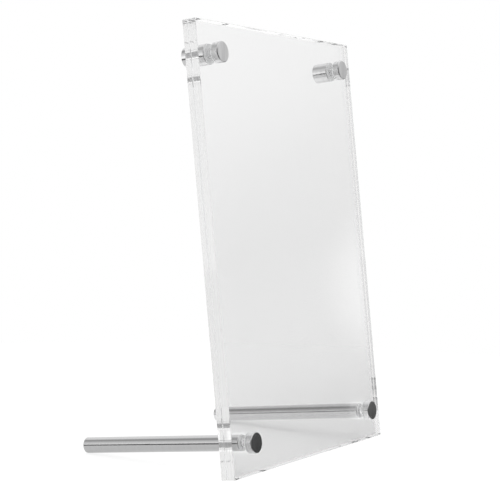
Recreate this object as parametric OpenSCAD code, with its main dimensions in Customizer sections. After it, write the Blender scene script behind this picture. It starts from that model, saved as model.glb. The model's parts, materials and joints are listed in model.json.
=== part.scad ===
// Desktop photo stand: a print is sandwiched between two clear plates, which four
// turned steel fixings hold together near the corners. The lower two fixings run on
// behind the plates as long leg rods, so that the sandwich stands by itself and
// leans back a little. The upper two end in short barrels.
//
// World frame: the front faces -Y, +X is to the right and +Z is up. The origin is on
// the table, below the middle of the whole stand's bounding box.

/* [Plates] */
// Width of both plates
plate_w = 148; // [120:1:210]
// Height of both plates, along their slope
plate_h = 210; // [160:1:297]
// Thickness of the front plate
front_t = 4; // [3:0.5:6]
// Thickness of the back plate
back_t = 3; // [2:0.5:6]
// Space between the plates, which the print fills
print_gap = 0.2; // [0.1:0.05:0.5]
// Width of the polished flat along every edge of a plate
arris = 0.2; // [0.1:0.05:0.5]
// Diameter of the plates' holes
hole_d = 4.5; // [4.3:0.1:5.5]

/* [Fixings] */
// Distance from the plates' edges to a fixing's centre
inset = 15; // [10:0.5:20]
// Diameter of the caps and the barrels
cap_d = 10; // [9:0.5:14]
// Thickness of a cap
cap_t = 3.5; // [3.5:0.5:6]
// Chamfer around a cap's face and a barrel's ends
cap_chamfer = 0.3; // [0.1:0.1:0.5]
// Outer diameter of the clear washers under the caps
cap_washer_d = 9.6; // [8:0.2:12]
// Thickness of every clear washer
washer_t = 0.5; // [0.3:0.1:1]
// Length of an upper barrel
barrel_len = 8.5; // [8.5:0.5:20]

/* [Leg rods] */
// Diameter of a leg rod
rod_d = 7.7; // [6:0.1:10]
// Length of a leg rod
rod_len = 86; // [60:1:120]
// Chamfer around a rod's ends
rod_chamfer = 0.4; // [0.2:0.1:0.8]
// Outer diameter of the clear washers in front of the rods
rod_washer_d = 7.4; // [6:0.2:10]

/* [Studs] */
// Thread diameter of the studs
stud_d = 4; // [3:1:4]
// Length of a stud
stud_len = 18; // [18:1:20]
// How far a stud's tip stands into its cap
stud_in_cap = 2.6; // [2:0.1:2.8]

/* [Hidden] */
LEFT = -1;
RIGHT = 1;
BOTTOM = -1;
TOP = 1;
thread_clearance = 0.05;
washer_bore_d = 4.4;
tip_slack = 0.2;
drill_point = 0.35;
stud_chamfer = 0.4;
eps = 0.5;
round_fn = 96;

stack_t = front_t + print_gap + back_t;
tap_r = stud_d / 2 + thread_clearance;
stud_front = -washer_t - stud_in_cap;
stud_back = stud_front + stud_len;
cap_bore = stud_in_cap + tip_slack;
rear_bore = stud_back - stack_t - washer_t + tip_slack;

// The stand touches the table along the back plate's lower rear edge and under the
// far ends of the rods. The line between those two contacts sets the lean.
contact_rise = inset - rod_d / 2;
contact_run = washer_t + rod_len - rod_chamfer + arris;
lean = atan(contact_rise / contact_run);

// Where a point of the upright stack, y behind its front and z up, goes once it leans
function back_of(y, z) = y * cos(lean) + z * sin(lean);
function up_of(y, z) = z * cos(lean) - y * sin(lean);

foremost = back_of(-washer_t - cap_t, inset - cap_d / 2 + cap_chamfer);
rearmost = back_of(stack_t + washer_t + rod_len, inset + rod_d / 2 - rod_chamfer);
shift_y = -(foremost + rearmost) / 2;
shift_z = -up_of(stack_t - arris, 0);

steel = [0.74, 0.74, 0.75];
clear = [0.86, 0.90, 0.92, 0.45];
washer_clear = [0.93, 0.95, 0.96, 0.7];

// Leans the upright stack back and sets it on the table
module leaning() {
    translate([0, shift_y, shift_z])
        rotate([-lean, 0, 0])
            children();
}

// Puts a piece, drawn along +Z, on a fixing's centre line at depth y, running backward
module on_fixing(side, end, y) {
    z = end == TOP ? plate_h - inset : inset;
    leaning()
        translate([side * (plate_w / 2 - inset), y, z])
            rotate([-90, 0, 0])
                children();
}

// A rectangle with its corners cut by the arris
module arrised(a, b) {
    polygon([
        [arris, 0], [a - arris, 0], [a, arris], [a, b - arris],
        [a - arris, b], [arris, b], [0, b - arris], [0, arris]
    ]);
}

// A clear plate, its front face at depth y, with an arris on all twelve edges
module plate(y, t) {
    leaning()
        translate([-plate_w / 2, y, 0])
            difference() {
                intersection() {
                    translate([0, t, 0])
                        rotate([90, 0, 0])
                            linear_extrude(t)
                                arrised(plate_w, plate_h);
                    linear_extrude(plate_h)
                        arrised(plate_w, t);
                    rotate([90, 0, 90])
                        linear_extrude(plate_w)
                            arrised(t, plate_h);
                }
                for (x = [inset, plate_w - inset], z = [inset, plate_h - inset])
                    translate([x, -eps, z])
                        rotate([-90, 0, 0])
                            cylinder(h = t + 2 * eps, d = hole_d, $fn = round_fn);
            }
}

// A turned bar along +Z with a chamfer c at both ends and a blind tapped hole.
// The hole's mouth is at z = 0 and its drill point adds a shallow cone.
module tapped_bar(d, len, c, depth) {
    r = d / 2;
    rotate_extrude($fn = round_fn)
        polygon([
            [tap_r, 0], [r - c, 0], [r, c], [r, len - c], [r - c, len],
            [0, len], [0, depth + drill_point], [tap_r, depth]
        ]);
}

// A flat washer that begins at z = 0
module washer(d) {
    rotate_extrude($fn = round_fn)
        translate([washer_bore_d / 2, 0])
            square([(d - washer_bore_d) / 2, washer_t]);
}

// A threaded stud along +Z, at its nominal diameter, with chamfered tips
module stud_bar() {
    r = stud_d / 2;
    c = stud_chamfer;
    rotate_extrude($fn = round_fn)
        polygon([
            [0, 0], [r - c, 0], [r, c], [r, stud_len - c], [r - c, stud_len], [0, stud_len]
        ]);
}

module front_plate() {
    color(clear)
        plate(0, front_t);
}

module back_plate() {
    color(clear)
        plate(front_t + print_gap, back_t);
}

// A cap is a tapped bar whose closed end faces the front
module cap(side, end) {
    color(steel)
        on_fixing(side, end, -washer_t)
            mirror([0, 0, 1])
                tapped_bar(cap_d, cap_t, cap_chamfer, cap_bore);
}

module front_washer(side, end) {
    color(washer_clear)
        on_fixing(side, end, -washer_t)
            washer(cap_washer_d);
}

module stud(side, end) {
    color(steel)
        on_fixing(side, end, stud_front)
            stud_bar();
}

module back_washer(side, end) {
    color(washer_clear)
        on_fixing(side, end, stack_t)
            washer(end == TOP ? cap_washer_d : rod_washer_d);
}

module barrel(side) {
    color(steel)
        on_fixing(side, TOP, stack_t + washer_t)
            tapped_bar(cap_d, barrel_len, cap_chamfer, rear_bore);
}

module leg_rod(side) {
    color(steel)
        on_fixing(side, BOTTOM, stack_t + washer_t)
            tapped_bar(rod_d, rod_len, rod_chamfer, rear_bore);
}

front_plate();
back_plate();
cap(LEFT, TOP);  // upper_left_cap
cap(RIGHT, TOP);  // upper_right_cap
cap(LEFT, BOTTOM);  // lower_left_cap
cap(RIGHT, BOTTOM);  // lower_right_cap
front_washer(LEFT, TOP);  // upper_left_front_washer
front_washer(RIGHT, TOP);  // upper_right_front_washer
front_washer(LEFT, BOTTOM);  // lower_left_front_washer
front_washer(RIGHT, BOTTOM);  // lower_right_front_washer
stud(LEFT, TOP);  // upper_left_stud
stud(RIGHT, TOP);  // upper_right_stud
stud(LEFT, BOTTOM);  // lower_left_stud
stud(RIGHT, BOTTOM);  // lower_right_stud
back_washer(LEFT, TOP);  // upper_left_back_washer
back_washer(RIGHT, TOP);  // upper_right_back_washer
back_washer(LEFT, BOTTOM);  // lower_left_back_washer
back_washer(RIGHT, BOTTOM);  // lower_right_back_washer
barrel(LEFT);  // upper_left_barrel
barrel(RIGHT);  // upper_right_barrel
leg_rod(LEFT);  // left_leg_rod
leg_rod(RIGHT);  // right_leg_rod
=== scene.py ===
"""Looks of the desktop photo stand: clear acrylic plates and turned steel fixings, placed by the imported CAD
frame, in a white studio like the photograph's."""
import json
import math

import bpy
from mathutils import Matrix, Vector


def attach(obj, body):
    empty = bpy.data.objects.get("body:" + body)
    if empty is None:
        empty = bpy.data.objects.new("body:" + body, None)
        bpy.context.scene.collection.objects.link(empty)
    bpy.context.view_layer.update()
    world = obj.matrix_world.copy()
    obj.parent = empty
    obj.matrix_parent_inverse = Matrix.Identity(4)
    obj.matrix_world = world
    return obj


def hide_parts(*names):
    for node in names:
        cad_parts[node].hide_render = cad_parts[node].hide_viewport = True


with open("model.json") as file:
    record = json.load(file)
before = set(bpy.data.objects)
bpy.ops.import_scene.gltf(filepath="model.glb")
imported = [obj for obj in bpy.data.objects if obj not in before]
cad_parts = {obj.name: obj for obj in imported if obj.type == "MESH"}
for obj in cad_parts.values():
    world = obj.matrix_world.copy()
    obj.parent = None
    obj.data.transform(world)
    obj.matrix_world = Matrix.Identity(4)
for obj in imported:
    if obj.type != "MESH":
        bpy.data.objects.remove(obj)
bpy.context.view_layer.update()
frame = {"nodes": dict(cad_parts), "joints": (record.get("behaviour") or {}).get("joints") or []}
nodes = frame["nodes"]
joints = {joint["name"]: joint for joint in frame["joints"]}
PLATE_NORMAL = Vector(joints["front_plate_slide"]["axis"])

MM = 0.001

# The camera's place in the frame's metres, its aim in degrees, and its lens and sensor in millimetres
CAMERA_AT = Vector((-0.6300, -0.3889, 0.1399))
CAMERA_HEADING = 31.26
CAMERA_PITCH = -3.05
CAMERA_ROLL = -1.37
CAMERA_LENS = 105.5
CAMERA_SENSOR = 36
CAMERA_CLIP = 0.01

# The fixings, as the CAD part has them
CORNERS = ("upper_left", "upper_right", "lower_left", "lower_right")
STACK_T = 7.2 * MM
CAP_R = 5.0 * MM
CAP_LENGTH = 3.5 * MM
CAP_HOLE = 2.8 * MM
BARREL_LENGTH = 8.5 * MM
ROD_R = 3.85 * MM
ROD_LENGTH = 86 * MM
REAR_HOLE = 7.4 * MM
CHAMFER = 0.3 * MM
ROD_CHAMFER = 0.4 * MM
WASHER_T = 0.5 * MM
WASHER_R = 4.8 * MM
ROD_WASHER_R = 3.7 * MM
WASHER_BORE_R = 2.2 * MM
STUD_R = 2.0 * MM
STUD_LENGTH = 18 * MM
STUD_IN_CAP = 2.6 * MM
THREAD_CLEARANCE = 0.05 * MM
TAP_R = STUD_R + THREAD_CLEARANCE

# Threads: the root and the flanks are shares of half a pitch, and the crest is the rest of it
THREAD_PITCH = 0.7 * MM
THREAD_DEPTH = 0.38 * MM
THREAD_ROOT = 0.18
THREAD_FLANK = 0.64
ROWS_PER_TURN = 8

# The studs' tips, which start under the thread's root, and the hexagon socket with its drilled point and
# its lead
STUD_ROOT_R = STUD_R - THREAD_DEPTH
STUD_LEAD = 0.4 * MM
STUD_TIP = 0.12 * MM
SOCKET_R = 1.15 * MM
SOCKET_DEPTH = 1.8 * MM
SOCKET_POINT = 0.3 * MM
SOCKET_LEAD = 0.06 * MM
SOCKET_FLARE = 1.06

# Tapped holes: the point of the drill, the widened mouth, and where the thread stops short of both ends
DRILL_POINT = 0.35 * MM
MOUTH = 0.25 * MM
THREAD_START = 0.35 * MM
THREAD_STOP = 0.01 * MM

# Roundings of the bars and the washers, and the air on both sides of a washer
BAR_SOFT = 0.08 * MM
WASHER_SOFT = 0.14 * MM
AIR = 0.02 * MM
END_REACH = 0.05 * MM

# Turned meshes: sides to the turn, steps to a rounded corner, and creases in degrees. A corner takes up to
# CORNER_SHARE of the straight run beside it, and its support point is SUPPORT radii further on, or before
# SUPPORT_SHARE of the run. An end is flat where its normals are more than FLAT along the axis
SIDES = 96
CORNER_STEPS = 4
CORNER_SHARE = 0.4
SUPPORT = 0.3
SUPPORT_SHARE = 0.49
CREASE = 35
THREAD_CREASE = 30
FLAT = 0.9

# Acrylic: tints of the faces and the edges, and the least and most haze and roughness of the edges. A
# surface is an edge where its normal is less along the plate's than the first of EDGE_FROM, and a face past
# the second
ACRYLIC_IOR = 1.49
FACE_TINT = 0.988
EDGE_TINT = 0.86
EDGE_HAZE = (0.192, 0.448)
EDGE_ROUGHNESS = (0.02, 0.06)
EDGE_FROM = (0.75, 0.95)

# Steels: grain in features per metre along each local axis, tone, least and most roughness, and how much
# the grain darkens the tone. STEEL_SHADES are (noise, level) pairs
TURNED_GRAIN = (90, 90, 9000)
BRUSHED_GRAIN = (2600, 260, 260)
THREAD_GRAIN = (900, 900, 900)
SIDE_TONE = (0.74, 0.74, 0.745)
# the rods' turned steel is painted a darker tone than the caps' same steel: painted shade for the darker
# surroundings the rods reflect
ROD_SHADED_TONE = (0.66, 0.66, 0.664)
BRUSHED_TONE = (0.8, 0.8, 0.805)
THREAD_TONE = (0.5, 0.5, 0.51)
TURNED_ROUGHNESS = (0.08, 0.2)
BRUSHED_ROUGHNESS = (0.12, 0.24)
THREAD_ROUGHNESS = (0.2, 0.4)
TURNED_SHADING = 0.5
BRUSHED_SHADING = 0.9
STEEL_SHADES = ((0.3, 0.8), (0.7, 1.0))
COARSE_SHARE = 0.22
EVEN = (1, 1, 1)

# The washers' milky plastic
MILKY_TONE = (0.94, 0.945, 0.95, 1)
MILKY_ROUGHNESS = (0.15, 0.3)

# The studio in reflections. Levels go by elevation, and the sides by azimuth from +X, both in degrees
LEFT_STUDIO = (
    (-90, 0.8), (-24, 0.8), (-13, 1.3), (4, 1.35), (9, 1.0), (32, 0.72), (40, 0.42), (50, 0.42), (58, 0.8),
    (75, 0.95),
)
FRONT_STUDIO = (
    (-90, 0.9), (-30, 0.6), (-14, 0.02), (-2, 0.02), (-0.3, 0.2), (1.4, 0.26), (4.5, 0.24), (6.1, 0.33),
    (7.6, 0.43), (9.2, 0.55), (10.7, 0.65), (12.5, 0.72), (20, 0.9), (32, 1.0),
)
BACK_STUDIO = ((-90, 1.0), (-12, 0.97), (0, 1.0), (90, 1.0))
NEAR_STUDIO = ((-90, 0.6), (-35, 0.15), (25, 0.12), (45, 0.85), (90, 1.0))
FRONT_FROM = (-100, -55)
BACK_FROM = (0, 12)
LEFT_FROM = (75, 105)
LEFT_TO = (165, 179)

# A soft glow in front: its azimuth and elevation, and (width in degrees, level) pairs
GLOW_AT = (-25, 2.2)
GLOW_WIDTHS = ((4, 0.45), (7, 0.12))

# Light that was turned back this often inside a plate evens out, light that dull surfaces scatter sees one
# level, and light that leaves a plate sees no more than a top level
LONG_WAY = (1.5, 4)
LONG_WAY_LEVEL = 0.88
SCATTER_LEVEL = 0.95
THROUGH_MOST = 1.0

# The table top in metres and grey levels: plain, then as seen through the plates, then as seen in
# reflections, where a painted pool of light makes it dim below TABLE_GLOW_X and bright above it
FLOOR_R = 0.45
FLOOR_Z = -0.0001
FLOOR_SIDES = 120
FLOOR_TONE = 0.3
FLOOR_GLOW = 0.78
SHADED_TONE = 0.85
SHADED_GLOW = 0.195
TABLE_R = 0.13
TABLE_FRONT_Y = -0.05
TABLE_GLOW = (0.48, 0.92)
TABLE_GLOW_X = (-0.07, -0.03)

# The dark gap beyond the table, in metres, degrees of azimuth and grey levels
GAP_R = 0.63
GAP_BOTTOM = -0.095
GAP_TOP = 0.055
GAP_STEPS = 30
GAP_LEVEL = 0.05
GAP_BEHIND = (85, 155.5)
GAP_BEHIND_THROUGH = 0.93
GAP_LEFT = (155.5, 200)
GAP_LEFT_THROUGH = 0.3

# How often light may turn back inside the plates before it is lost
BOUNCES = 64


# ---------------------------------------------------------------- nodes

def new_material(name):
    """An empty node material and its node tree."""
    material = bpy.data.materials.new(name)
    material.use_nodes = True
    tree = material.node_tree
    tree.nodes.clear()
    return material, tree


def add(tree, kind, **values):
    """A node, with sockets set by name and properties by attribute."""
    node = tree.nodes.new(kind)
    for key, value in values.items():
        if hasattr(node, key):
            setattr(node, key, value)
        else:
            node.inputs[key].default_value = value
    return node


def principled(tree, **values):
    """A Principled BSDF joined to the material's output."""
    shader = tree.nodes.new("ShaderNodeBsdfPrincipled")
    for key, value in values.items():
        shader.inputs[key.replace("_", " ")].default_value = value
    out = tree.nodes.new("ShaderNodeOutputMaterial")
    tree.links.new(shader.outputs["BSDF"], out.inputs["Surface"])
    return shader


def combine(tree, operation, first, second=0.0, third=0.0):
    """A math node on sockets or numbers."""
    node = add(tree, "ShaderNodeMath", operation=operation)
    for socket, value in zip(node.inputs, (first, second, third)):
        if isinstance(value, (int, float)):
            socket.default_value = value
        else:
            tree.links.new(value, socket)
    return node.outputs[0]


def remap(tree, value, low, high):
    """Maps a 0 to 1 value to a range."""
    node = tree.nodes.new("ShaderNodeMapRange")
    node.inputs["To Min"].default_value = low
    node.inputs["To Max"].default_value = high
    tree.links.new(value, node.inputs["Value"])
    return node.outputs["Result"]


def smooth(tree, value, low, high):
    """0 below low, 1 above high and a smooth step between."""
    node = add(tree, "ShaderNodeMapRange", interpolation_type="SMOOTHSTEP")
    node.inputs["From Min"].default_value = low
    node.inputs["From Max"].default_value = high
    tree.links.new(value, node.inputs["Value"])
    return node.outputs["Result"]


def blend(tree, factor, first, second):
    """A mix of two colours, each a socket or a grey level."""
    node = tree.nodes.new("ShaderNodeMixRGB")
    tree.links.new(factor, node.inputs["Fac"])
    for socket, value in ((node.inputs["Color1"], first), (node.inputs["Color2"], second)):
        if isinstance(value, (int, float)):
            socket.default_value = (value, value, value, 1)
        else:
            tree.links.new(value, socket)
    return node.outputs["Color"]


def brighten(tree, colour, extra):
    """A colour with a grey level added."""
    node = add(tree, "ShaderNodeVectorMath", operation="ADD")
    tree.links.new(colour, node.inputs[0])
    tree.links.new(extra, node.inputs[1])
    return node.outputs["Vector"]


def along(tree, vector, axis):
    """How far a vector socket goes along a fixed axis."""
    node = add(tree, "ShaderNodeVectorMath", operation="DOT_PRODUCT")
    node.inputs[1].default_value = axis
    tree.links.new(vector, node.inputs[0])
    return node.outputs["Value"]


def grey_ramp(tree, value, stops):
    """Grey levels over a 0 to 1 value, from (position, level) pairs."""
    ramp = tree.nodes.new("ShaderNodeValToRGB")
    elements = ramp.color_ramp.elements
    while len(elements) < len(stops):
        elements.new(0.5)
    for element, (position, level) in zip(elements, stops):
        element.position = position
        element.color = (level, level, level, 1)
    tree.links.new(value, ramp.inputs["Fac"])
    return ramp.outputs["Color"]


def scaled_noise(tree, scale, size, detail=2.0, roughness=0.5):
    """Noise on object coordinates stretched by a scale for each axis."""
    coordinates = add(tree, "ShaderNodeTexCoord")
    mapping = add(tree, "ShaderNodeMapping", Scale=scale)
    noise = add(tree, "ShaderNodeTexNoise", Scale=size, Detail=detail, Roughness=roughness)
    tree.links.new(coordinates.outputs["Object"], mapping.inputs["Vector"])
    tree.links.new(mapping.outputs["Vector"], noise.inputs["Vector"])
    return noise.outputs["Fac"]


def bump(tree, height, strength, distance, under=None):
    """A bump node on a height, over another bump's normal if one is given."""
    node = add(tree, "ShaderNodeBump", Strength=strength, Distance=distance)
    tree.links.new(height, node.inputs["Height"])
    if under is not None:
        tree.links.new(under, node.inputs["Normal"])
    return node.outputs["Normal"]


def has_met(tree, kind):
    """1 for light that has met something on its way: Glossy, Transmission or Diffuse."""
    path = tree.nodes.new("ShaderNodeLightPath")
    return combine(tree, "GREATER_THAN", path.outputs[f"{kind} Depth"], 0.5)


# ---------------------------------------------------------------- materials

def lines_along_edges(tree, through, lengthwise):
    """Noise that is fine through a plate's thickness and slow along its edges, in features per metre."""
    position = add(tree, "ShaderNodeTexCoord").outputs["Object"]
    split = tree.nodes.new("ShaderNodeSeparateXYZ")
    tree.links.new(position, split.inputs["Vector"])
    joined = tree.nodes.new("ShaderNodeCombineXYZ")
    depth = along(tree, position, PLATE_NORMAL)
    tree.links.new(combine(tree, "MULTIPLY", depth, through), joined.inputs["X"])
    tree.links.new(combine(tree, "MULTIPLY", split.outputs["X"], lengthwise), joined.inputs["Y"])
    tree.links.new(combine(tree, "MULTIPLY", split.outputs["Z"], lengthwise), joined.inputs["Z"])
    noise = add(tree, "ShaderNodeTexNoise", Scale=1.0, Detail=2.0)
    tree.links.new(joined.outputs["Vector"], noise.inputs["Vector"])
    return noise.outputs["Fac"]


def acrylic(name):
    """Clear cast acrylic: glassy faces, and polished edges with the faint lines of saw and wheel."""
    material, tree = new_material(name)
    shader = principled(tree, IOR=ACRYLIC_IOR, Roughness=0.0)
    # the normals of the edges and holes lie in the plate's own plane
    geometry = tree.nodes.new("ShaderNodeNewGeometry")
    facing = combine(tree, "ABSOLUTE", along(tree, geometry.outputs["True Normal"], PLATE_NORMAL))
    edge = combine(tree, "SUBTRACT", 1.0, smooth(tree, facing, *EDGE_FROM))
    # the marks of the tools soften light as it enters, and the mirror inside an edge stays clear
    entering = combine(tree, "SUBTRACT", 1.0, geometry.outputs["Backfacing"])
    outside = combine(tree, "MULTIPLY", edge, entering)
    lines = lines_along_edges(tree, through=2600, lengthwise=9)
    haze = combine(tree, "MULTIPLY", outside, remap(tree, lines, *EDGE_HAZE))
    clear = combine(tree, "MULTIPLY_ADD", haze, -1.0, 1.0)
    tint = remap(tree, outside, FACE_TINT, EDGE_TINT)
    rough = combine(tree, "MULTIPLY", outside, remap(tree, lines, *EDGE_ROUGHNESS))
    ripple = scaled_noise(tree, EVEN, size=14, detail=1)
    cast = bump(tree, ripple, strength=0.02, distance=0.4 * MM)
    marks = combine(tree, "MULTIPLY", outside, lines)
    normal = bump(tree, marks, strength=0.1, distance=0.01 * MM, under=cast)
    tree.links.new(clear, shader.inputs["Transmission Weight"])
    tree.links.new(tint, shader.inputs["Base Color"])
    tree.links.new(rough, shader.inputs["Roughness"])
    tree.links.new(normal, shader.inputs["Normal"])
    return material


def milky_plastic(name):
    """Translucent milky plastic with a moulded sheen."""
    material, tree = new_material(name)
    shader = principled(tree, Base_Color=MILKY_TONE, IOR=1.45, Transmission_Weight=0.3)
    cloud = scaled_noise(tree, EVEN, size=1400, detail=3)
    tree.links.new(remap(tree, cloud, *MILKY_ROUGHNESS), shader.inputs["Roughness"])
    sheen = bump(tree, cloud, strength=0.08, distance=0.01 * MM)
    tree.links.new(sheen, shader.inputs["Normal"])
    return material


def steel(name, grain, tone, roughness, shading=TURNED_SHADING):
    """Stainless steel with fine lines, coarser lines that darken it, and patches of wear."""
    material, tree = new_material(name)
    shader = principled(tree, Metallic=1.0)
    coarse_grain = tuple(features * COARSE_SHARE for features in grain)
    fine = scaled_noise(tree, grain, size=1, detail=4, roughness=0.7)
    coarse = scaled_noise(tree, coarse_grain, size=1, detail=2)
    wear = scaled_noise(tree, EVEN, size=160, detail=3)
    dullness = combine(tree, "MULTIPLY_ADD", fine, 0.7, remap(tree, wear, 0.0, 0.3))
    tree.links.new(remap(tree, dullness, *roughness), shader.inputs["Roughness"])
    shade = add(tree, "ShaderNodeMixRGB", blend_type="MULTIPLY", Color1=(*tone, 1), Fac=shading)
    tree.links.new(grey_ramp(tree, coarse, STEEL_SHADES), shade.inputs["Color2"])
    tree.links.new(shade.outputs["Color"], shader.inputs["Base Color"])
    scored = bump(tree, coarse, strength=0.1, distance=0.02 * MM)
    normal = bump(tree, fine, strength=0.18, distance=0.01 * MM, under=scored)
    tree.links.new(normal, shader.inputs["Normal"])
    return material


# ---------------------------------------------------------------- meshes

def rounded(points, radius):
    """An outline of (r, z, sharp) points whose corners are replaced by small arcs, except the sharp ones.
    A support point just past each corner keeps the shading of the straight run beside it true."""
    out = []
    last = len(points) - 1
    for i, (r, z, sharp) in enumerate(points):
        here = Vector((r, z))
        before = Vector(points[max(i - 1, 0)][:2]) - here
        after = Vector(points[min(i + 1, last)][:2]) - here
        reach = 0 if sharp else radius
        if before.length > 0:
            reach = min(reach, before.length * CORNER_SHARE)
            out.append(support(here, before, reach, radius))
        if after.length > 0:
            reach = min(reach, after.length * CORNER_SHARE)
        if sharp:
            out.append((r, z))
        else:
            out.extend(arc(here, before, after, reach))
        if after.length > 0:
            out.append(support(here, after, reach, radius))
    return out


def support(corner, run, reach, radius):
    """The support point on a straight run from a corner."""
    point = corner + run.normalized() * min(reach + radius * SUPPORT, run.length * SUPPORT_SHARE)
    return point.x, point.y


def arc(corner, before, after, reach):
    """The points of a curve that cuts a corner off at a reach along both of its runs."""
    start = corner + before.normalized() * reach
    end = corner + after.normalized() * reach
    points = []
    for k in range(CORNER_STEPS + 1):
        t = k / CORNER_STEPS
        point = start * (1 - t) ** 2 + corner * 2 * t * (1 - t) + end * t ** 2
        points.append((point.x, point.y))
    return points


def mesh_object(name, verts, faces, crease=CREASE):
    """A mesh object with smooth faces, and creases over an angle."""
    mesh = bpy.data.meshes.new(name)
    mesh.from_pydata([tuple(v) for v in verts], [], faces)
    mesh.validate()
    mesh.update()
    for polygon in mesh.polygons:
        polygon.use_smooth = True
    mesh.set_sharp_from_angle(angle=math.radians(crease))
    obj = bpy.data.objects.new(name, mesh)
    bpy.context.scene.collection.objects.link(obj)
    return obj


def plain_mesh(name, verts, faces, material):
    """A flat-shaded mesh object with one material."""
    mesh = bpy.data.meshes.new(name)
    mesh.from_pydata(verts, [], faces)
    mesh.materials.append(material)
    obj = bpy.data.objects.new(name, mesh)
    bpy.context.scene.collection.objects.link(obj)
    return obj


def revolve(rows):
    """Vertices and faces of a surface of revolution. A row is a radius, or a function of the angle that
    gives it, and a height. A row of radius 0 is a single point, at the first or last row."""
    verts, rings = [], []
    for radius, z in rows:
        if radius == 0:
            rings.append([len(verts)])
            verts.append((0, 0, z))
            continue
        ring = []
        for k in range(SIDES):
            a = 2 * math.pi * k / SIDES
            r = radius(a) if callable(radius) else radius
            ring.append(len(verts))
            verts.append((r * math.cos(a), r * math.sin(a), z))
        rings.append(ring)
    faces = []
    for lower, upper in zip(rings, rings[1:]):
        for k in range(SIDES):
            j = (k + 1) % SIDES
            if len(lower) == 1:
                faces.append((lower[0], upper[j], upper[k]))
            elif len(upper) == 1:
                faces.append((lower[k], lower[j], upper[0]))
            else:
                faces.append((lower[k], lower[j], upper[j], upper[k]))
    return verts, faces


def thread_height(angle, z):
    """How far a thread stands over its root at an angle and height, from 0 to 1: a flat root, flanks and a
    flat crest."""
    turn = (z / THREAD_PITCH - angle / (2 * math.pi)) % 1.0
    ramp = abs(2 * turn - 1)
    return min(1.0, max(0.0, (ramp - THREAD_ROOT) / THREAD_FLANK))


def heights(start, end):
    """The heights of a thread's rows from start to end."""
    count = max(2, round(abs(end - start) / THREAD_PITCH * ROWS_PER_TURN))
    return [start + (end - start) * i / count for i in range(count + 1)]


def stud_mesh(name):
    """A set screw along +Z whose tips are at z = 0 and its length, with a hexagon socket in the lower
    tip."""

    def hexagon(angle):
        """The socket's radius, from its corners in to its flats."""
        from_flat = angle % (math.pi / 3) - math.pi / 6
        return SOCKET_R * math.cos(math.pi / 6) / math.cos(from_flat)

    def flared(angle):
        return hexagon(angle) * SOCKET_FLARE

    def screw(z):
        """The thread at a height, held down at the tips."""
        lead = min(z, STUD_LENGTH - z) / STUD_LEAD
        most = STUD_ROOT_R - STUD_TIP + lead * (STUD_R - STUD_ROOT_R + STUD_TIP)
        return lambda a: min(STUD_ROOT_R + (STUD_R - STUD_ROOT_R) * thread_height(a, z), most)

    rows = [(0, SOCKET_DEPTH + SOCKET_POINT), (hexagon, SOCKET_DEPTH), (hexagon, SOCKET_LEAD), (flared, 0)]
    rows.extend((screw(z), z) for z in heights(0, STUD_LENGTH))
    rows.append((0, STUD_LENGTH))
    verts, faces = revolve(rows)
    return mesh_object(name, verts, faces, THREAD_CREASE)


def filled_thread(z, thread_from):
    """The radius of an inner thread that a stud's thread, which starts at thread_from, fills. The stud is
    drawn from the other end, so its heights run the other way and its angles are mirrored."""
    crest = TAP_R - THREAD_DEPTH
    return lambda a: crest + (TAP_R - crest) * thread_height(math.pi - a, thread_from - z)


def bar_mesh(name, radius, length, chamfer, hole, thread_from=None):
    """A turned bar along +Z with rounded chamfers and a blind tapped hole whose mouth is at z = 0.
    thread_from is the height, in the bar's own frame, where the stud in the hole starts. Without it the
    hole's thread, which can't be seen, is left out."""
    outline = [
        (TAP_R + MOUTH, 0, True),
        (radius - chamfer, 0, False),
        (radius, chamfer, False),
        (radius, length - chamfer, False),
        (radius - chamfer, length, False),
        (0, length, True),
    ]
    rows = [(0, hole + DRILL_POINT), (TAP_R, hole)]
    if thread_from is None:
        rows.append((TAP_R, MOUTH))
    else:
        rows.extend((filled_thread(z, thread_from), z) for z in heights(hole - THREAD_STOP, THREAD_START))
    verts, faces = revolve(rows + rounded(outline, BAR_SOFT))
    return mesh_object(name, verts, faces)


def washer_mesh(name, radius):
    """A flat soft washer from z = 0 with rounded rims, and a hair of air on both sides."""
    low, high = AIR, WASHER_T - AIR
    middle = (low + high) / 2
    outline = [
        (WASHER_BORE_R, middle, True),
        (WASHER_BORE_R, low, False),
        (radius, low, False),
        (radius, high, False),
        (WASHER_BORE_R, high, False),
        (WASHER_BORE_R, middle, True),
    ]
    verts, faces = revolve(rounded(outline, WASHER_SOFT))
    # the last ring is the first one again, so the faces close on the first
    last = len(verts) - SIDES
    faces = [tuple(v - last if v >= last else v for v in face) for face in faces]
    return mesh_object(name, verts[:last], faces)


# ---------------------------------------------------------------- the object

def fixing_frame(corner, depth, backward=True):
    """The matrix that lays a piece drawn along +Z on a fixing's centre line, depth behind the plates'
    front."""
    centre = Vector(joints[f"{corner}_cap_turn"]["pos_m"])
    z_axis = -PLATE_NORMAL if backward else PLATE_NORMAL
    x_axis = Vector((1, 0, 0)) if backward else Vector((-1, 0, 0))
    y_axis = z_axis.cross(x_axis)
    turn = Matrix((x_axis, y_axis, z_axis)).transposed().to_4x4()
    return Matrix.Translation(centre - PLATE_NORMAL * depth) @ turn


def place(obj, matrix, body, node, slot, *materials):
    """Puts a finished piece where its CAD node is and gives it its materials."""
    obj.matrix_world = matrix
    for material in materials:
        obj.data.materials.append(material)
    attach(obj, body)
    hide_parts(node)


def brush_end(obj, height):
    """Gives the flat end at a height the piece's second material."""
    for polygon in obj.data.polygons:
        at_end = abs(polygon.center.z - height) <= END_REACH
        if at_end and abs(polygon.normal.z) > FLAT:
            polygon.material_index = 1


def build_cap(corner, sides, faces):
    cap = bar_mesh(f"{corner}_cap_turned", CAP_R, CAP_LENGTH, CHAMFER, CAP_HOLE, STUD_IN_CAP)
    brush_end(cap, CAP_LENGTH)
    front = fixing_frame(corner, -WASHER_T, backward=False)
    place(cap, front, f"{corner}_cap_body", f"{corner}_cap", "turned_steel", sides, faces)


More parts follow.
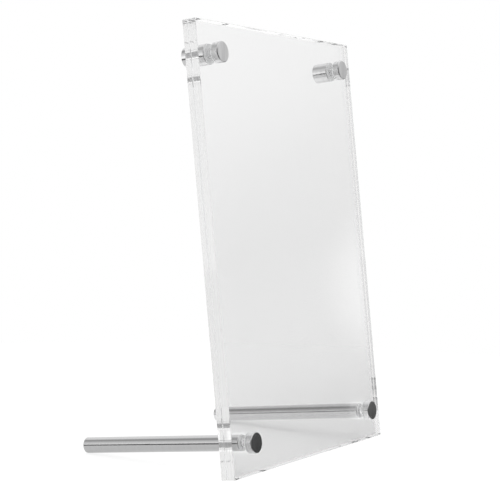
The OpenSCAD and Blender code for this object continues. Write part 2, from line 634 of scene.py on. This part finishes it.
def build_front_washer(corner, milky):
    washer = washer_mesh(f"{corner}_front_washer_clear", WASHER_R)
    at = fixing_frame(corner, -WASHER_T)
    place(washer, at, f"{corner}_washer_body", f"{corner}_front_washer", "clear_washer", milky)


def build_stud(corner, threads):
    stud = stud_mesh(f"{corner}_stud_threaded")
    tip = fixing_frame(corner, -WASHER_T - STUD_IN_CAP)
    place(stud, tip, "rear_frame", f"{corner}_stud", "stud_steel", threads)


def build_back_washer(corner, radius, milky):
    washer = washer_mesh(f"{corner}_back_washer_clear", radius)
    at = fixing_frame(corner, STACK_T)
    place(washer, at, "rear_frame", f"{corner}_back_washer", "clear_washer", milky)


def build_bar(corner, name, radius, length, chamfer, sides, faces):
    """A barrel or a leg rod behind the plates."""
    bar = bar_mesh(f"{name}_turned", radius, length, chamfer, REAR_HOLE)
    brush_end(bar, length)
    at = fixing_frame(corner, STACK_T + WASHER_T)
    place(bar, at, "rear_frame", name, "turned_steel", sides, faces)


def build_fixings():
    sides = steel("turned_steel_side", TURNED_GRAIN, SIDE_TONE, TURNED_ROUGHNESS)
    # a darker copy of the turned steel for the rods: painted shade
    rods = steel("turned_steel_rod_shaded", TURNED_GRAIN, ROD_SHADED_TONE, TURNED_ROUGHNESS)
    faces = steel("brushed_steel_face", BRUSHED_GRAIN, BRUSHED_TONE, BRUSHED_ROUGHNESS, BRUSHED_SHADING)
    threads = steel("thread_steel", THREAD_GRAIN, THREAD_TONE, THREAD_ROUGHNESS)
    milky = milky_plastic("washer_plastic")
    for corner in CORNERS:
        row, side = corner.split("_")
        build_cap(corner, sides, faces)
        build_front_washer(corner, milky)
        build_stud(corner, threads)
        if row == "upper":
            build_back_washer(corner, WASHER_R, milky)
            build_bar(corner, f"{corner}_barrel", CAP_R, BARREL_LENGTH, CHAMFER, sides, faces)
        else:
            build_back_washer(corner, ROD_WASHER_R, milky)
            build_bar(corner, f"{side}_leg_rod", ROD_R, ROD_LENGTH, ROD_CHAMFER, rods, faces)


def finish_plates():
    """The plates keep their CAD shape. They cast no shadow, as clear acrylic hardly does."""
    material = acrylic("clear_acrylic")
    for name in ("front_plate", "back_plate"):
        plate = nodes[name]
        plate.visible_shadow = False
        plate.visible_diffuse = False
        plate.data.materials.clear()
        plate.data.materials.append(material)


# ---------------------------------------------------------------- the studio

def shown_if(tree, shader, factor):
    """A shader that is clear where factor is 0, joined to the material's output."""
    clear = tree.nodes.new("ShaderNodeBsdfTransparent")
    choose = tree.nodes.new("ShaderNodeMixShader")
    out = tree.nodes.new("ShaderNodeOutputMaterial")
    tree.links.new(factor, choose.inputs["Fac"])
    tree.links.new(clear.outputs["BSDF"], choose.inputs[1])
    tree.links.new(shader, choose.inputs[2])
    tree.links.new(choose.outputs["Shader"], out.inputs["Surface"])


def table_top(name):
    """A plain pale table top. The plates show the soft shadows on it. Reflections see it only near the
    stand, and not in front of the plates, as on a small table before the dark part of a studio."""
    material, tree = new_material(name)
    diffuse = tree.nodes.new("ShaderNodeBsdfDiffuse")
    glow = tree.nodes.new("ShaderNodeEmission")
    both = tree.nodes.new("ShaderNodeAddShader")
    tree.links.new(diffuse.outputs["BSDF"], both.inputs[0])
    tree.links.new(glow.outputs["Emission"], both.inputs[1])

    position = tree.nodes.new("ShaderNodeNewGeometry").outputs["Position"]
    split = tree.nodes.new("ShaderNodeSeparateXYZ")
    tree.links.new(position, split.inputs["Vector"])
    distance = add(tree, "ShaderNodeVectorMath", operation="LENGTH")
    tree.links.new(position, distance.inputs[0])

    bounced = has_met(tree, "Glossy")
    plain = combine(tree, "SUBTRACT", 1.0, bounced)
    through = combine(tree, "MULTIPLY", has_met(tree, "Transmission"), plain)
    seen = blend(tree, through, FLOOR_GLOW, SHADED_GLOW)
    # painted light: in reflections the table is dim towards -X and bright towards +X
    mirrored = remap(tree, smooth(tree, split.outputs["X"], *TABLE_GLOW_X), *TABLE_GLOW)
    tree.links.new(blend(tree, bounced, seen, mirrored), glow.inputs["Color"])
    tree.links.new(blend(tree, through, FLOOR_TONE, SHADED_TONE), diffuse.inputs["Color"])

    near = combine(tree, "LESS_THAN", distance.outputs["Value"], TABLE_R)
    behind = combine(tree, "GREATER_THAN", split.outputs["Y"], TABLE_FRONT_Y)
    table = combine(tree, "MULTIPLY", near, behind)
    shown_if(tree, both.outputs["Shader"], combine(tree, "MAXIMUM", plain, table))
    return material


def build_floor():
    round_it = angles_round(0, 360, FLOOR_SIDES)[:-1]
    verts = [(FLOOR_R * math.cos(a), FLOOR_R * math.sin(a), FLOOR_Z) for a in round_it]
    floor = plain_mesh("floor", verts, [tuple(range(FLOOR_SIDES))], table_top("pale_floor"))


def gap_glow(name, level_through):
    """The dim light of a dark gap, which only reflections see. The metal sees it at its darkest, and what
    comes through the plates is paler."""
    material, tree = new_material(name)
    dim = add(tree, "ShaderNodeEmission", Color=(1, 1, 1, 1))
    through = tree.nodes.new("ShaderNodeLightPath").outputs["Is Transmission Ray"]
    tree.links.new(remap(tree, through, GAP_LEVEL, level_through), dim.inputs["Strength"])
    shown_if(tree, dim.outputs["Emission"], has_met(tree, "Glossy"))
    return material


def build_dark_gap(name, azimuth, level_through):
    """A dark upright strip of studio beyond the table's edge, between two azimuths."""
    verts, faces = [], []
    for k, a in enumerate(angles_round(*azimuth, GAP_STEPS)):
        for z in (GAP_BOTTOM, GAP_TOP):
            verts.append((GAP_R * math.cos(a), GAP_R * math.sin(a), z))
        if k:
            faces.append((2 * k - 2, 2 * k, 2 * k + 1, 2 * k - 1))
    gap = plain_mesh(name, verts, faces, gap_glow(name, level_through))
    gap.visible_camera = False
    gap.visible_diffuse = False
    gap.visible_shadow = False


def angles_round(start, end, count):
    """count + 1 angles in radians from start to end degrees."""
    return [math.radians(start + (end - start) * k / count) for k in range(count + 1)]


def ramp_by_height(tree, height, levels):
    """A grey ramp over a direction's height, -1 straight down to 1 straight up, from (elevation, level)
    pairs."""
    stops = [(0.5 + 0.5 * math.sin(math.radians(elevation)), level) for elevation, level in levels]
    return grey_ramp(tree, combine(tree, "MULTIPLY_ADD", height, 0.5, 0.5), stops)


def direction(azimuth, elevation):
    """The unit vector of an azimuth and an elevation in degrees."""
    a, e = math.radians(azimuth), math.radians(elevation)
    return Vector((math.cos(a) * math.cos(e), math.sin(a) * math.cos(e), math.sin(e)))


def studio_levels(tree):
    """The levels of the studio round the stand: dark in front and near the camera, bright behind and to the
    left, with a soft glow in the dark front."""
    way = tree.nodes.new("ShaderNodeTexCoord").outputs["Generated"]
    split = tree.nodes.new("ShaderNodeSeparateXYZ")
    tree.links.new(way, split.inputs["Vector"])
    x, y, z = (split.outputs[axis] for axis in "XYZ")
    azimuth = combine(tree, "MULTIPLY", combine(tree, "ARCTAN2", y, x), 180 / math.pi)
    left = ramp_by_height(tree, z, LEFT_STUDIO)
    front = ramp_by_height(tree, z, FRONT_STUDIO)
    back = ramp_by_height(tree, z, BACK_STUDIO)
    near_side = ramp_by_height(tree, z, NEAR_STUDIO)
    towards = along(tree, way, direction(*GLOW_AT))
    for width, level in GLOW_WIDTHS:
        spot = smooth(tree, towards, math.cos(math.radians(width)), 1.0)
        front = brighten(tree, front, combine(tree, "MULTIPLY", spot, level))
    around = blend(tree, smooth(tree, azimuth, *FRONT_FROM), near_side, front)
    around = blend(tree, smooth(tree, azimuth, *BACK_FROM), around, back)
    around = blend(tree, smooth(tree, azimuth, *LEFT_FROM), around, left)
    return blend(tree, smooth(tree, azimuth, *LEFT_TO), around, near_side)


def build_world():
    """A white background, and for reflections a studio."""
    world = bpy.data.worlds.new("studio")
    bpy.context.scene.world = world
    world.use_nodes = True
    tree = world.node_tree
    tree.nodes.clear()
    around = studio_levels(tree)
    # light that has run the length of a plate is scattered on the way, so it leaves even
    path = tree.nodes.new("ShaderNodeLightPath")
    around = blend(tree, smooth(tree, path.outputs["Glossy Depth"], *LONG_WAY), around, LONG_WAY_LEVEL)
    held = combine(tree, "MINIMUM", around, THROUGH_MOST)
    around = blend(tree, path.outputs["Is Transmission Ray"], around, held)
    studio = blend(tree, has_met(tree, "Glossy"), 1.0, around)
    studio = blend(tree, has_met(tree, "Diffuse"), studio, SCATTER_LEVEL)
    background = add(tree, "ShaderNodeBackground", Strength=1.0)
    tree.links.new(studio, background.inputs["Color"])
    out = tree.nodes.new("ShaderNodeOutputWorld")
    tree.links.new(background.outputs["Background"], out.inputs["Surface"])


def build_camera():
    forward = direction(CAMERA_HEADING, CAMERA_PITCH)
    level_right = forward.cross(Vector((0, 0, 1))).normalized()
    level_up = level_right.cross(forward)
    roll = math.radians(CAMERA_ROLL)
    up = level_up * math.cos(roll) + level_right * math.sin(roll)
    right = forward.cross(up)
    turn = Matrix((right, up, -forward)).transposed().to_4x4()
    data = bpy.data.cameras.new("camera")
    data.lens = CAMERA_LENS
    data.sensor_width = CAMERA_SENSOR
    data.clip_start = CAMERA_CLIP
    camera = bpy.data.objects.new("camera", data)
    bpy.context.scene.collection.objects.link(camera)
    camera.matrix_world = Matrix.Translation(CAMERA_AT) @ turn
    bpy.context.scene.camera = camera


def set_light_paths():
    """Light that enters an edge runs along inside the plate, turned back a score of times before it
    leaves."""
    cycles = bpy.context.scene.cycles
    cycles.max_bounces = BOUNCES
    cycles.transmission_bounces = BOUNCES
    cycles.glossy_bounces = BOUNCES


build_camera()
finish_plates()
build_fixings()
build_floor()
build_dark_gap("studio_gap_behind", GAP_BEHIND, GAP_BEHIND_THROUGH)
build_dark_gap("studio_gap_left", GAP_LEFT, GAP_LEFT_THROUGH)
build_world()
set_light_paths()
bpy.context.scene.view_settings.view_transform = "Standard"
